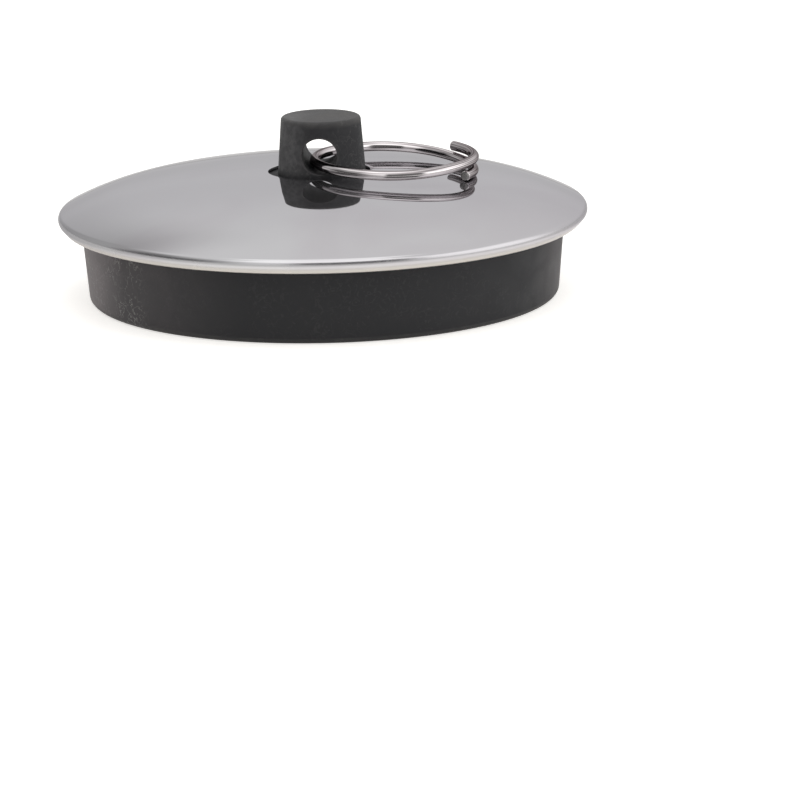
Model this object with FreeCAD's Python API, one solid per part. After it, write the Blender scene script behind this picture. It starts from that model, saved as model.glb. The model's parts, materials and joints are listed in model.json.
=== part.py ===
# Drain stopper: a moulded rubber plug, a pressed steel cap crimped over its flange, and a wire pull ring
# that hangs in the cross bore of the knob. Millimetres, +Z up, origin on the axis at the foot of the skirt.
# The ring lies to +X and the cross bore runs along Y.
import FreeCAD, Part
import math
import os

from FreeCAD import Vector

# Steel cap
CAP_DIAMETER = 80.0
CAP_SHEET = 0.5
RIM_OVERHANG = 3.5              # rim of the cap beyond the top of the skirt
CROWN_RADIUS = 235.0            # nearly flat middle round the knob
DOME_START = 16.0               # distance from the axis where the middle turns into the dome
DOME_RADIUS = 115.0
SHOULDER_START = 29.6           # distance from the axis where the dome falls away to the rim
SHOULDER_RADIUS = 37.5
EDGE_RADIUS = 0.95              # outside of the bend at the rim
RIM_RISE = 1.5                  # widest circle of the rim over the underside of the hem
CRIMP_LEAN = 42.0               # degrees off the vertical, wall pressed in under the rim
FOLD_RADIUS = 0.8               # outside of the bend from that wall into the lip
LIP_LENGTH = 1.5                # flat lip turned in under the flange
HOLE_MARGIN = 1.1               # room round the knob in the cap's hole
HOLE_SHIFT = -0.4               # the hole is punched a little to one side

# Rubber plug
SKIRT_HEIGHT = 11.12            # foot of the skirt to the underside of the hem
SKIRT_TAPER = 1.0               # the skirt draws in by this all round, down to its foot
SKIRT_FOOT_WALL = 4.0
SKIRT_FOOT_RADIUS = 1.0         # outer edge of the foot
SKIRT_INNER_EDGE = 0.5          # inner edge of the foot
CORE_DRAFT = 1.5                # degrees, inside of the skirt
WEB_THICKNESS = 3.0             # rubber under the dome
HOLLOW_CORNER_RADIUS = 2.5
KNOB_BASE_DIAMETER = 13.2       # where it leaves the dome
KNOB_TOP_DIAMETER = 12.0
KNOB_EDGE_RADIUS = 0.55
BORE_DIAMETER = 5.3
BORE_SILL = 0.38                # rubber left between the dome and the bore
BORE_BRIDGE = 2.5               # rubber left over the bore
BORE_MOUTH_RADIUS = 0.15

# Pull ring
WIRE_DIAMETER = 1.5
RING_MEAN_DIAMETER = 24.0
LOW_END_ANGLE = 25.0            # degrees that the lower end runs past the tip of the ring
HIGH_END_ANGLE = 44.0           # and the upper end, the other way
STEP_ANGLE = 110.0              # degrees over which each end steps out of the ring's plane
CUT_CHAMFER = 0.15

# Clearances
CRIMP_GAP = 0.1                 # cap to rubber
TURN_GAP = 0.5                  # between the two ends where they overlap
BORE_GAP = 0.12                 # wire to bore
REST_GAP = 0.08                 # wire to cap where the ring lies down

# Sizes that follow from those above
CAP_RADIUS = CAP_DIAMETER / 2
SKIRT_TOP_DIAMETER = CAP_DIAMETER - 2 * RIM_OVERHANG
SKIRT_FOOT_DIAMETER = SKIRT_TOP_DIAMETER - 2 * SKIRT_TAPER
WIRE_RADIUS = WIRE_DIAMETER / 2
RING_RADIUS = RING_MEAN_DIAMETER / 2
BORE_RADIUS = BORE_DIAMETER / 2
EDGE_CENTRE = (CAP_RADIUS - EDGE_RADIUS, SKIRT_HEIGHT + RIM_RISE)
CRIMP_TURN = math.radians(CRIMP_LEAN)
CRIMP_SLOPE = math.pi / 2 + CRIMP_TURN
FOLD_DROP = RIM_RISE - FOLD_RADIUS
FOLD_INSET = (FOLD_DROP * math.sin(CRIMP_TURN) - EDGE_RADIUS + FOLD_RADIUS) / math.cos(CRIMP_TURN)
FOLD_CENTRE = (EDGE_CENTRE[0] - FOLD_INSET, EDGE_CENTRE[1] - FOLD_DROP)
CROWN_SLOPE = math.asin(DOME_START / CROWN_RADIUS)
DOME_OFFSET = DOME_START - DOME_RADIUS * math.sin(CROWN_SLOPE)
DOME_SLOPE = math.asin((SHOULDER_START - DOME_OFFSET) / DOME_RADIUS)
SHOULDER_OFFSET = SHOULDER_START - SHOULDER_RADIUS * math.sin(DOME_SLOPE)
EDGE_SLOPE = math.asin((EDGE_CENTRE[0] - SHOULDER_OFFSET) / (SHOULDER_RADIUS - EDGE_RADIUS))
SHOULDER_CENTRE = (
    SHOULDER_OFFSET,
    EDGE_CENTRE[1] - (SHOULDER_RADIUS - EDGE_RADIUS) * math.cos(EDGE_SLOPE),
)
DOME_CENTRE = (DOME_OFFSET, SHOULDER_CENTRE[1] - (DOME_RADIUS - SHOULDER_RADIUS) * math.cos(DOME_SLOPE))
CROWN_CENTRE = (0.0, DOME_CENTRE[1] - (CROWN_RADIUS - DOME_RADIUS) * math.cos(CROWN_SLOPE))
CROWN_HEIGHT = CROWN_CENTRE[1] + CROWN_RADIUS
CAP_ROUNDS = (
    (CROWN_CENTRE, CROWN_RADIUS, CROWN_SLOPE),
    (DOME_CENTRE, DOME_RADIUS, DOME_SLOPE),
    (SHOULDER_CENTRE, SHOULDER_RADIUS, EDGE_SLOPE),
)
LINING = CAP_SHEET + CRIMP_GAP
BORE_HEIGHT = CROWN_HEIGHT + BORE_SILL + BORE_RADIUS
KNOB_TOP = BORE_HEIGHT + BORE_RADIUS + BORE_BRIDGE
KNOB_TAPER = (KNOB_BASE_DIAMETER - KNOB_TOP_DIAMETER) / 2 / (KNOB_TOP - CROWN_HEIGHT)
AXIS = Vector(0, 0, 1)
MATCH = 1e-4                    # how near an edge lies to where it is looked for


def at(r, z):
    """A point of a section, at distance r from the axis and height z."""
    return Vector(r, 0, z)


def line(start, end):
    return Part.LineSegment(start, end).toShape()


def polyline(points):
    return [line(a, b) for a, b in zip(points, points[1:])]


def slope_point(centre, radius, slope):
    """The point of a round of a section whose normal has a slope angle, in radians from the vertical."""
    return at(centre[0] + radius * math.sin(slope), centre[1] + radius * math.cos(slope))


def slope_arc(centre, radius, first, last):
    """An arc of a section, from slope angle first to last."""
    points = [slope_point(centre, radius, slope) for slope in (first, (first + last) / 2, last)]
    return Part.Arc(*points).toShape()


def dome_arcs(depth, first=0.0):
    """Crown, from a first slope angle, dome and shoulder of the cap, a depth inside its outer skin."""
    arcs = []
    for centre, radius, last in CAP_ROUNDS:
        arcs.append(slope_arc(centre, radius - depth, first, last))
        first = last
    return arcs


def hem(depth):
    """Bend, crimped wall and fold at the cap's edge, a depth inside its outer skin, down to the lip."""
    bend = slope_arc(EDGE_CENTRE, EDGE_RADIUS - depth, EDGE_SLOPE, CRIMP_SLOPE)
    fold = slope_arc(FOLD_CENTRE, FOLD_RADIUS - depth, CRIMP_SLOPE, math.pi)
    wall_top = slope_point(EDGE_CENTRE, EDGE_RADIUS - depth, CRIMP_SLOPE)
    wall_foot = slope_point(FOLD_CENTRE, FOLD_RADIUS - depth, CRIMP_SLOPE)
    return [bend, line(wall_top, wall_foot), fold]


def turned(edges):
    """The solid made by turning a closed section once round the axis."""
    section = Part.Wire(Part.__sortEdges__(edges))
    return Part.Face(section).revolve(Vector(0, 0, 0), AXIS, 360)


def ring_edges(solid, r, z):
    """The circular edges of a solid at distance r from the axis and height z."""
    found = []
    for edge in solid.Edges:
        box = edge.BoundBox
        level = abs(box.ZMin - z) < MATCH and abs(box.ZMax - z) < MATCH
        if level and abs(box.XMax - r) < MATCH and abs(box.XMin + r) < MATCH:
            found.append(edge)
    return found


def steel_cap():
    """One pressed sheet: dome, shoulder, crimped hem, and a lip turned in under the rubber flange."""
    lip_end = FOLD_CENTRE[0] - LIP_LENGTH
    lip_top = SKIRT_HEIGHT + CAP_SHEET
    lip = polyline(
        [
            at(FOLD_CENTRE[0], SKIRT_HEIGHT),
            at(lip_end, SKIRT_HEIGHT),
            at(lip_end, lip_top),
            at(FOLD_CENTRE[0], lip_top),
        ]
    )
    outside = dome_arcs(0) + hem(0)
    inside = dome_arcs(CAP_SHEET) + hem(CAP_SHEET)
    middle = [line(at(0, CROWN_HEIGHT - CAP_SHEET), at(0, CROWN_HEIGHT))]
    cap = turned(outside + lip + inside + middle)
    hole = Part.makeCylinder(KNOB_BASE_DIAMETER / 2 + HOLE_MARGIN, CROWN_HEIGHT, Vector(HOLE_SHIFT, 0, 0))
    return cap.cut(hole)


def plug_body():
    """Skirt, flange and knob as one solid that fills the cap up to its lining."""
    flange_foot = SKIRT_HEIGHT + LINING
    skirt_lean = SKIRT_TAPER / SKIRT_HEIGHT
    lean = math.atan(KNOB_TAPER)
    lining_radius = CROWN_RADIUS - LINING
    reach = KNOB_BASE_DIAMETER / 2 + KNOB_TAPER * CROWN_RADIUS
    root_slope = math.asin(math.cos(lean) * reach / lining_radius) - lean
    root = slope_point(CROWN_CENTRE, lining_radius, root_slope)
    upper = polyline([at(0, KNOB_TOP), at(KNOB_TOP_DIAMETER / 2, KNOB_TOP), root])
    lower = polyline(
        [
            at(FOLD_CENTRE[0], flange_foot),
            at(SKIRT_FOOT_DIAMETER / 2 + skirt_lean * flange_foot, flange_foot),
            at(SKIRT_FOOT_DIAMETER / 2, 0),
            at(0, 0),
            at(0, KNOB_TOP),
        ]
    )
    body = turned(upper + dome_arcs(LINING, root_slope) + hem(LINING) + lower)
    body = body.makeFillet(SKIRT_FOOT_RADIUS, ring_edges(body, SKIRT_FOOT_DIAMETER / 2, 0))
    return body.makeFillet(KNOB_EDGE_RADIUS, ring_edges(body, KNOB_TOP_DIAMETER / 2, KNOB_TOP))


def hollow():
    """The open underside: a drafted core whose roof runs level with the dome."""
    depth = LINING + WEB_THICKNESS
    foot = SKIRT_FOOT_DIAMETER / 2 - SKIRT_FOOT_WALL
    roof_end = slope_point(SHOULDER_CENTRE, SHOULDER_RADIUS - depth, EDGE_SLOPE)
    sides = polyline([roof_end, at(roof_end.x, 0), at(0, 0), at(0, CROWN_HEIGHT - depth)])
    under_roof = turned(dome_arcs(depth) + sides)
    head = foot - CROWN_HEIGHT * math.tan(math.radians(CORE_DRAFT))
    core = Part.makeCone(foot, head, CROWN_HEIGHT).common(under_roof)
    level = [edge for edge in core.Edges if edge.BoundBox.ZLength < MATCH and edge.BoundBox.ZMin > 0]
    corner = max(level, key=lambda edge: edge.BoundBox.XMax)
    return core.makeFillet(HOLLOW_CORNER_RADIUS, [corner])


def rubber_plug():
    """One moulding: skirt, flange, web and knob, with the cross bore for the ring."""
    length = 2 * KNOB_BASE_DIAMETER
    bore = Part.makeCylinder(BORE_RADIUS, length, Vector(0, -length / 2, BORE_HEIGHT), Vector(0, 1, 0))
    moulding = plug_body().cut(hollow()).cut(bore)
    walls = [face for face in moulding.Faces if isinstance(face.Surface, Part.Cylinder)]
    mouths = [edge for wall in walls for edge in wall.Edges if edge.isClosed()]
    moulding = moulding.makeFillet(BORE_MOUTH_RADIUS, mouths)
    inner_foot = ring_edges(moulding, SKIRT_FOOT_DIAMETER / 2 - SKIRT_FOOT_WALL, 0)
    return moulding.makeFillet(SKIRT_INNER_EDGE, inner_foot).Solids[0]


def ring_seat():
    """Where the ring's plane sits in the bore: its centre's distance from the bore's axis, and its drop.

    The wire bows through the knob, so it is centred in the bore by half of that bow.
    """
    half_length = KNOB_BASE_DIAMETER / 2 - KNOB_TAPER * (BORE_SILL + WIRE_RADIUS)
    bow = RING_RADIUS - math.sqrt(RING_RADIUS**2 - half_length**2)
    room = BORE_RADIUS - WIRE_RADIUS - BORE_GAP
    drop = math.sqrt(room**2 - (bow / 2) ** 2)
    return RING_RADIUS - bow / 2, drop


def arc_from(start, direction, end):
    """The arc that leaves start in a direction and passes through end."""
    chord = end - start
    aim = direction.normalize()
    half_turn = math.acos(max(-1.0, min(1.0, aim.dot(chord) / chord.Length)))
    bulge = chord.Length / 2 * math.tan(half_turn / 2)
    side = aim - chord * (aim.dot(chord) / chord.Length**2)
    return Part.Arc(start, start + chord / 2 + side.normalize() * bulge, end).toShape()


def biarc(start, start_way, end, end_way):
    """Two arcs that meet smoothly between two points, leaving and arriving along two unit directions."""
    chord = end - start
    ways = start_way + end_way
    spread = 2 * (1 - start_way.dot(end_way))
    along = chord.dot(ways)
    reach = (math.sqrt(along**2 + spread * chord.dot(chord)) - along) / spread
    joint = (start + start_way * reach + end - end_way * reach) / 2
    first = arc_from(start, Vector(start_way), joint)
    second = arc_from(end, end_way * -1, joint)
    return [first, second]


def ring_path():
    """Centre line of the wire, flat through the knob, its two ends stepping past each other at the tip."""
    centre, drop = ring_seat()
    step = (WIRE_DIAMETER + TURN_GAP) / 2

    def place(angle, height):
        turn = math.radians(angle)
        return Vector(centre + RING_RADIUS * math.cos(turn), RING_RADIUS * math.sin(turn), height - drop)

    def heading(angle):
        turn = math.radians(angle)
        return Vector(-math.sin(turn), math.cos(turn), 0)

    def flat_arc(first, last, height):
        return Part.Arc(*[place(angle, height) for angle in (first, (first + last) / 2, last)]).toShape()

    low_end = flat_arc(-LOW_END_ANGLE, 0, -step)
    climb = biarc(place(0, -step), heading(0), place(STEP_ANGLE, 0), heading(STEP_ANGLE))
    far_half = flat_arc(STEP_ANGLE, 180, 0)
    near_half = flat_arc(180, 360 - STEP_ANGLE, 0)
    rise = biarc(place(-STEP_ANGLE, 0), heading(-STEP_ANGLE), place(0, step), heading(0))
    high_end = flat_arc(0, HIGH_END_ANGLE, step)
    return Part.Wire(Part.__sortEdges__([low_end, *climb, far_half, near_half, *rise, high_end]))


def swung(point, angle):
    """A point of the ring's own frame, swung about the bore by an angle in degrees and put in place."""
    turn = math.radians(angle)
    x = point.x * math.cos(turn) - point.z * math.sin(turn)
    z = point.x * math.sin(turn) + point.z * math.cos(turn)
    return Vector(x, point.y, z + BORE_HEIGHT)


def room_over_cap(point):
    """Distance from a wire of the ring's thickness, centred on a point, to the cap's outer skin."""
    r = math.hypot(point.x, point.y)
    for centre, radius, last in CAP_ROUNDS:
        across, up = r - centre[0], point.z - centre[1]
        if math.atan2(across, up) < last:
            break
    return math.hypot(across, up) - radius - WIRE_RADIUS


def lying_angle(points, clear, buried):
    """The swing between a clear and a buried angle at which the ring lies its rest gap above the cap."""
    halvings = 40
    for _ in range(halvings):
        middle = (clear + buried) / 2
        if min(room_over_cap(swung(point, middle)) for point in points) > REST_GAP:
            clear = middle
        else:
            buried = middle
    return clear


def least_self_gap(points, spacing):
    """Least gap between two stretches of the wire that lie more than half a turn apart along it."""
    apart = int(math.pi * RING_RADIUS / spacing)
    nearest = min((a - b).Length for i, a in enumerate(points) for b in points[i + apart:])
    return nearest - WIRE_DIAMETER


def pull_ring(path, rest_angle):
    """The wire ring, swept along its centre line, chamfered at its cut ends and laid down on the cap."""
    first, last = path.OrderedEdges[0], path.OrderedEdges[-1]
    cuts = [
        (first.valueAt(first.FirstParameter), first.tangentAt(first.FirstParameter) * -1),
        (last.valueAt(last.LastParameter), last.tangentAt(last.LastParameter)),
    ]
    profile = Part.Wire(Part.makeCircle(WIRE_RADIUS, *cuts[0]))
    tips = [Part.makeCone(WIRE_RADIUS, WIRE_RADIUS - CUT_CHAMFER, CUT_CHAMFER, *cut) for cut in cuts]
    wire = path.makePipeShell([profile], True, False).fuse(tips)
    wire.rotate(Vector(0, 0, 0), Vector(0, -1, 0), rest_angle)
    wire.translate(Vector(0, 0, BORE_HEIGHT))
    return wire.Solids[0]


def main():
    spacing = 0.3
    path = ring_path()
    points = path.discretize(Distance=spacing)
    rest_angle = lying_angle(points, 90, -90)
    far_angle = lying_angle(points, 90, 270)
    os.makedirs("parts", exist_ok=True)
    nodes = {
        "rubber_plug": rubber_plug(),
        "steel_cap": steel_cap(),
        "pull_ring": pull_ring(path, rest_angle),
    }
    for name, shape in nodes.items():
        shape.exportStep(f"parts/{name}.step")
        box = shape.BoundBox
        print(f"{name}: valid {shape.isValid()}, solids {len(shape.Solids)}, volume {shape.Volume:.1f} mm3, "
              f"z {box.ZMin:.2f} to {box.ZMax:.2f}")
    print(f"wire length {path.Length:.1f} mm")
    print(f"least gap of the wire to itself {least_self_gap(points, spacing):.2f} mm")
    print(f"bore axis at z {BORE_HEIGHT:.2f}, crown at z {CROWN_HEIGHT:.2f}, knob top at z {KNOB_TOP:.2f}")
    print(f"ring lies at {rest_angle:.2f} degrees and swings {far_angle - rest_angle:.1f} degrees")


main()
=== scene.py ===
"""A domed drain stopper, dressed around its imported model.

The stopper is a moulded rubber plug, a polished steel cap crimped over the plug's flange, and a ring of
bright wire that hangs in the cross bore of the plug's knob. Lengths are metres in the model's frame: +Z
runs up the axis from the foot of the skirt, the ring lies to +X and the bore runs along Y.
"""

import json
import logging
import math
from dataclasses import dataclass, field
from enum import Enum
from typing import Any

import bmesh
import bpy
import numpy as np
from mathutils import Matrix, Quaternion, Vector


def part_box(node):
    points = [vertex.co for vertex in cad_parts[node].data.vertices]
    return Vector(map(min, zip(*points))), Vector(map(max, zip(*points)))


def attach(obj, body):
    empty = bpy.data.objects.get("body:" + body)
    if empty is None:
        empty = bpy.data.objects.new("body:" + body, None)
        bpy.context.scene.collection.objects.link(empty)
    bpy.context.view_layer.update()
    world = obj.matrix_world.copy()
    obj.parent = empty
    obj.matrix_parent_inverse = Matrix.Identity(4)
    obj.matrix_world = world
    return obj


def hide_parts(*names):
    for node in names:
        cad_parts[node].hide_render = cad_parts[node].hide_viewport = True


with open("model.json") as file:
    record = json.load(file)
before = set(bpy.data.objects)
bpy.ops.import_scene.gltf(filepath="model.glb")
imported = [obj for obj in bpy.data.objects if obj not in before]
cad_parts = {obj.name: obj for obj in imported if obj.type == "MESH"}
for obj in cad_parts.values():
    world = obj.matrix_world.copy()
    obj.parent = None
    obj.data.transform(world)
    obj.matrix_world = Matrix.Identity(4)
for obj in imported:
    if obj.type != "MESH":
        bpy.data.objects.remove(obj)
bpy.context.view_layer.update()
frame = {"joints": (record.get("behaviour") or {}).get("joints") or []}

MM = 0.001
QUARTER = math.pi / 2
WELD = 1e-7
Pair = tuple[float, float]
Triple = tuple[float, float, float]
Colour = tuple[float, float, float, float]
Socket = bpy.types.NodeSocket
log = logging.getLogger("drain_stopper")


class Body(Enum):
    """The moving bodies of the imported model."""

    STOPPER = "stopper"
    RING = "ring"


class Slot(Enum):
    """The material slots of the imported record."""

    RUBBER = "black_rubber"
    STEEL = "polished_steel"
    WIRE = "ring_wire"


class Mark(Enum):
    """What is stored on the vertices for a finish to read."""

    WEAR = "wear"
    LAY = "lay"
    GLOW = "glow"


# Sections and grids


def arc(centre: Pair, radius: float, first: float, last: float, count: int) -> np.ndarray:
    """An arc of a section: centre + radius (sin s, cos s), the slope s running evenly from first to last.

    Args:
        centre: Distance from the axis and height of the arc's centre.
        radius: Radius of the arc.
        first: Slope of the outward normal at the start, in radians from straight up.
        last: Slope of the outward normal at the end.
        count: How many points the arc has.

    Returns:
        The (count, 2) distances from the axis and heights.
    """
    slope = np.linspace(first, last, count)
    return np.stack([centre[0] + radius * np.sin(slope), centre[1] + radius * np.cos(slope)], axis=-1)


def run(start: Pair, end: Pair, count: int) -> np.ndarray:
    """A straight stretch of a section, start + t (end - start), in equal steps.

    Args:
        start: Distance from the axis and height of the first point.
        end: Distance from the axis and height of the last point.
        count: How many points the stretch has.

    Returns:
        The (count, 2) distances from the axis and heights.
    """
    return np.linspace(start, end, count)


def chained(stretches: list[np.ndarray]) -> np.ndarray:
    """Stretches of a section end to end, each without the point that it shares with the one before."""
    return np.concatenate([stretches[0]] + [stretch[1:] for stretch in stretches[1:]])


def turned(section: np.ndarray, columns: int) -> np.ndarray:
    """A section carried once round the axis: point (i, j) is (r_i cos t_j, r_i sin t_j, z_i).

    Args:
        section: The (n, 2) distances from the axis and heights.
        columns: How many equal steps t makes in one turn.

    Returns:
        The (n, columns, 3) grid of points.
    """
    turn = np.linspace(0.0, 2.0 * np.pi, columns, endpoint=False)
    r, z = section[:, 0, None], section[:, 1, None]
    return np.stack(np.broadcast_arrays(r * np.cos(turn), r * np.sin(turn), z), axis=-1)


def grid_quads(rows: int, columns: int, closed: bool = False) -> np.ndarray:
    """The faces of a grid whose columns close on themselves.

    Args:
        rows: How many rows the grid has.
        columns: How many columns it has; the last joins the first.
        closed: Whether the last row also joins the first.

    Returns:
        The (steps, columns, 4) indices of the faces' corners, one step between each two rows.
    """
    i = np.arange(rows if closed else rows - 1)[:, None]
    j = np.arange(columns)[None, :]
    above, below = i * columns, (i + 1) % rows * columns
    after = (j + 1) % columns
    return np.stack(np.broadcast_arrays(above + j, above + after, below + after, below + j), axis=-1)


def fan(pole: int, first: int, columns: int) -> np.ndarray:
    """The triangles between a pole and the ring of columns that starts at vertex first."""
    j = np.arange(columns)
    return np.stack([np.full(columns, pole), first + j, first + (j + 1) % columns], axis=-1)


def end_fans(total: int, columns: int) -> list[np.ndarray]:
    """The fans that close a grid of total points at both ends, each from a pole that follows the grid."""
    return [fan(total, 0, columns), fan(total + 1, total - columns, columns)]


def smooth_step(value: np.ndarray, low: float, high: float) -> np.ndarray:
    """0 up to low, 1 from high on, and 3t^2 - 2t^3 between them."""
    t = np.clip((value - low) / (high - low), 0.0, 1.0)
    return t * t * (3.0 - 2.0 * t)


def placed(name: str, data: bpy.types.ID) -> bpy.types.Object:
    """A new object of the scene, at the origin."""
    made = bpy.data.objects.new(name, data)
    bpy.context.scene.collection.objects.link(made)
    return made


@dataclass
class Skin:
    """The grids of one piece, gathered before they become one welded mesh."""

    name: str
    points: list[np.ndarray] = field(default_factory=list)
    faces: list[list[int]] = field(default_factory=list)
    marks: dict[Mark, list[np.ndarray]] = field(default_factory=dict)

    def add(self, points: np.ndarray, faces: list[np.ndarray], marks: dict[Mark, np.ndarray]) -> None:
        """Adds the points and faces of one grid.

        Args:
            points: The (n, 3) points of the grid.
            faces: Arrays of corner indices, counted from the grid's own first point.
            marks: Values for each point, by the name that the finish reads.
        """
        start = sum(len(part) for part in self.points)
        self.points.append(points)
        for part in faces:
            self.faces.extend((part.reshape(-1, part.shape[-1]) + start).tolist())
        for mark, values in marks.items():
            self.marks.setdefault(mark, []).append(values)

    def piece(self, material: bpy.types.Material) -> bpy.types.Object:
        """Makes the object, with doubled points merged and faces turned outwards.

        Args:
            material: The finish of the whole piece.

        Returns:
            The object, at the origin, with its place in its mesh.
        """
        mesh = bpy.data.meshes.new(self.name)
        mesh.from_pydata(np.concatenate(self.points).tolist(), [], self.faces)
        for mark, parts in self.marks.items():
            values = np.concatenate(parts).astype(np.float32)
            if values.ndim == 1:
                mesh.attributes.new(mark.value, "FLOAT", "POINT").data.foreach_set("value", values)
            else:
                layer = mesh.attributes.new(mark.value, "FLOAT_VECTOR", "POINT")
                layer.data.foreach_set("vector", values.ravel())
        shell = bmesh.new()
        shell.from_mesh(mesh)
        bmesh.ops.remove_doubles(shell, verts=shell.verts, dist=WELD)
        bmesh.ops.recalc_face_normals(shell, faces=shell.faces)
        shell.to_mesh(mesh)
        shell.free()
        mesh.polygons.foreach_set("use_smooth", np.ones(len(mesh.polygons), dtype=bool))
        mesh.materials.append(material)
        return placed(self.name, mesh)


# Finishes


@dataclass(frozen=True)
class Grain:
    """Soft noise: lumps to the metre, layers of finer lumps, their warp, and the levels that count."""

    lumps: float
    layers: float = 2.0
    warp: float = 0.0
    span: Pair = (0.0, 1.0)


@dataclass
class NodeSheet:
    """A node tree with a short way to add nodes and feed their sockets."""

    tree: bpy.types.NodeTree

    def feed(self, socket: Socket, value: Any) -> None:
        """Links a socket to another one, or sets its own value.

        Args:
            socket: The input to feed.
            value: A socket to link it to, or the value that it takes.
        """
        if isinstance(value, Socket):
            self.tree.links.new(value, socket)
        else:
            socket.default_value = value

    def fill(self, node: bpy.types.Node, inputs: dict[Any, Any]) -> None:
        """Feeds several inputs of a node.

        Args:
            node: The node.
            inputs: Values or sockets, by the name or place of the input that they feed.
        """
        for name, value in inputs.items():
            self.feed(node.inputs[name], value)

    def add(self, kind: str, inputs: dict[Any, Any], **settings: Any) -> bpy.types.Node:
        """Adds a node.

        Args:
            kind: The node's type.
            inputs: Values or sockets, by the name or place of the input that they feed.
            **settings: The node's own settings.

        Returns:
            The node.
        """
        node = self.tree.nodes.new(kind)
        for name, value in settings.items():
            setattr(node, name, value)
        self.fill(node, inputs)
        return node

    def place(self) -> Socket:
        """Where a point lies in the model's frame."""
        return self.add("ShaderNodeTexCoord", {}).outputs["Object"]

    def mark(self, mark: Mark, output: str) -> Socket:
        """A value stored on the vertices."""
        return self.add("ShaderNodeAttribute", {}, attribute_name=mark.value).outputs[output]

    def axis(self, vector: Socket, name: str) -> Socket:
        """One coordinate of a vector."""
        return self.add("ShaderNodeSeparateXYZ", {0: vector}).outputs[name]

    def stretched(self, vector: Socket, scale: Triple) -> Socket:
        """A vector with each coordinate times its own scale."""
        return self.add("ShaderNodeMapping", {"Vector": vector, "Scale": scale}).outputs["Vector"]

    def noise(self, vector: Socket, grain: Grain) -> Socket:
        """Soft noise from 0 to 1."""
        wanted = {"Vector": vector, "Scale": grain.lumps, "Detail": grain.layers, "Distortion": grain.warp}
        return self.add("ShaderNodeTexNoise", wanted).outputs["Fac"]

    def patches(self, vector: Socket, grain: Grain, bottom: float = 0.0, top: float = 1.0) -> Socket:
        """Noise that rises from bottom to top between the levels of its grain's span."""
        return self.between(self.noise(vector, grain), *grain.span, bottom, top)

    def math(self, operation: str, first: Any, *others: Any) -> Socket:
        """A sum, product or other operation on a number and, one after another, those that follow it."""
        for other in others or (0.0,):
            first = self.add("ShaderNodeMath", {0: first, 1: other}, operation=operation).outputs[0]
        return first

    def raised(self, base: Any, *steps: tuple[Socket, float]) -> Socket:
        """A number raised in steps, each an amount times its share."""
        for share, amount in steps:
            wanted = {0: share, 1: amount, 2: base}
            base = self.add("ShaderNodeMath", wanted, operation="MULTIPLY_ADD").outputs[0]
        return base

    def between(
        self, value: Socket, low: float, high: float, bottom: float = 0.0, top: float = 1.0
    ) -> Socket:
        """A value eased from bottom at low to top at high, and level beyond them."""
        wanted = {"Value": value, "From Min": low, "From Max": high, "To Min": bottom, "To Max": top}
        return self.add("ShaderNodeMapRange", wanted, interpolation_type="SMOOTHSTEP").outputs["Result"]

    def line(self, value: Socket, level: float, width: float) -> Socket:
        """1 where a value is within a width of a level, falling to 0 beside it."""
        away = self.math("ABSOLUTE", self.math("SUBTRACT", value, level))
        return self.between(away, 0.0, width, 1.0, 0.0)

    def layered(self, base: Any, *layers: tuple[Socket, Colour]) -> Socket:
        """A colour with others laid over it in order, each by its share."""
        for share, colour in layers:
            wanted = {0: share, 6: base, 7: colour}
            base = self.add("ShaderNodeMix", wanted, data_type="RGBA").outputs[2]
        return base

    def bump(self, height: Socket, distance: float, strength: float) -> Socket:
        """A normal tilted by a height, which is worth a distance at its full value."""
        wanted = {"Height": height, "Distance": distance, "Strength": strength}
        return self.add("ShaderNodeBump", wanted).outputs["Normal"]


def new_material(name: str) -> tuple[bpy.types.Material, NodeSheet, bpy.types.Node]:
    """An empty material.

    Args:
        name: The finish in plain words.

    Returns:
        The material, its node sheet and its surface shader.
    """
    material = bpy.data.materials.new(name)
    material.use_nodes = True
    sheet = NodeSheet(material.node_tree)
    shader = next(node for node in material.node_tree.nodes if node.type == "BSDF_PRINCIPLED")
    return material, sheet, shader


def bare_material(name: str) -> tuple[bpy.types.Material, NodeSheet, Socket]:
    """A material with no surface shader, for the stage.

    Args:
        name: The finish in plain words.

    Returns:
        The material, its node sheet and the socket that takes its surface.
    """
    material, sheet, shader = new_material(name)
    material.node_tree.nodes.remove(shader)
    out = next(node for node in material.node_tree.nodes if node.type == "OUTPUT_MATERIAL")
    return material, sheet, out.inputs["Surface"]


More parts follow.
